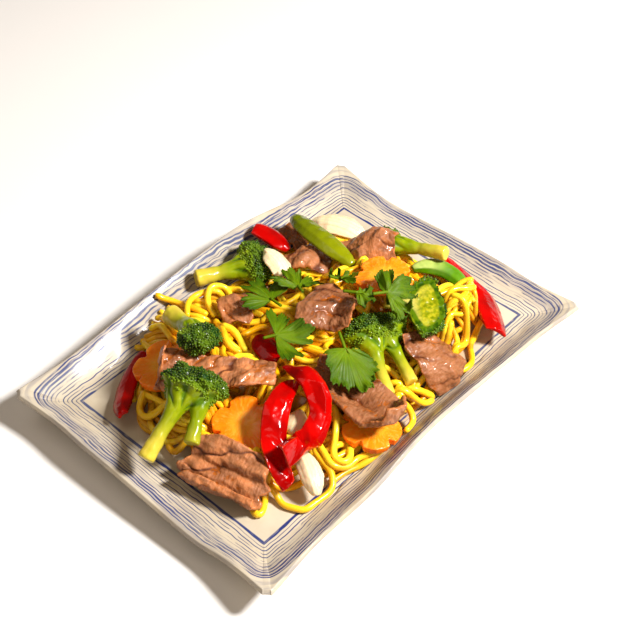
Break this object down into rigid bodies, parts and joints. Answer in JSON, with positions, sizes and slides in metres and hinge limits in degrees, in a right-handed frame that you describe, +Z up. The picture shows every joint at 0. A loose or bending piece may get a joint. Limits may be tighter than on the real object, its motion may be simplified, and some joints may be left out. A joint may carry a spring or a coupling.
{
  "type": "beef fried noodles on a plate",
  "caption": "Rectangular plate with a wavy rim, heaped with fried egg noodles, beef slices, peppers, broccoli, carrot flowers, onion and coriander leaves.",
  "frame": {"origin": "middle of the plate's plan, on the surface that its foot stands on", "axes": "+X along the plate's long side, +Y along its short side, +Z up"},
  "size_m": [0.2698, 0.1874, 0.063],
  "materials": {
    "cream_glaze": "cream glaze",
    "egg_noodle": "oily egg noodle",
    "fried_beef": "fried beef in sauce",
    "carrot": "wet cooked carrot",
    "red_pepper": "glossy red pepper skin",
    "green_pepper": "glossy green skin of pepper and pea pod",
    "onion": "wet cooked onion",
    "broccoli": "cooked broccoli",
    "coriander_leaf": "fresh coriander leaf"
  },
  "bodies": {
    "root": {"beef_back": "fried_beef", "beef_back_far": "fried_beef", "beef_back_left": "fried_beef", "beef_centre": "fried_beef", "beef_front": "fried_beef", "beef_front_left": "fried_beef", "beef_front_right": "fried_beef", "beef_left": "fried_beef", "beef_right": "fried_beef", "broccoli_back": "broccoli", "broccoli_back_left": "broccoli", "broccoli_centre": "broccoli", "broccoli_halved": "broccoli", "broccoli_left": "broccoli", "broccoli_right": "broccoli", "carrot_back_left": "carrot", "carrot_front": "carrot", "carrot_front_left": "carrot", "carrot_right": "carrot", "coriander_back": "coriander_leaf", "coriander_back_right": "coriander_leaf", "coriander_centre": "coriander_leaf", "coriander_dark": "coriander_leaf", "coriander_front": "coriander_leaf", "coriander_right": "coriander_leaf", "coriander_small": "coriander_leaf", "green_pepper_right": "green_pepper", "noodles": "egg_noodle", "onion_back": "onion", "onion_back_right": "onion", "onion_front": "onion", "onion_in_pepper": "onion", "plate": "cream_glaze", "red_pepper_back": "red_pepper", "red_pepper_centre": "red_pepper", "red_pepper_left": "red_pepper", "red_pepper_loop_left": "red_pepper", "red_pepper_loop_right": "red_pepper", "red_pepper_right": "red_pepper", "snow_pea": "green_pepper"}
  },
  "joints": []
}
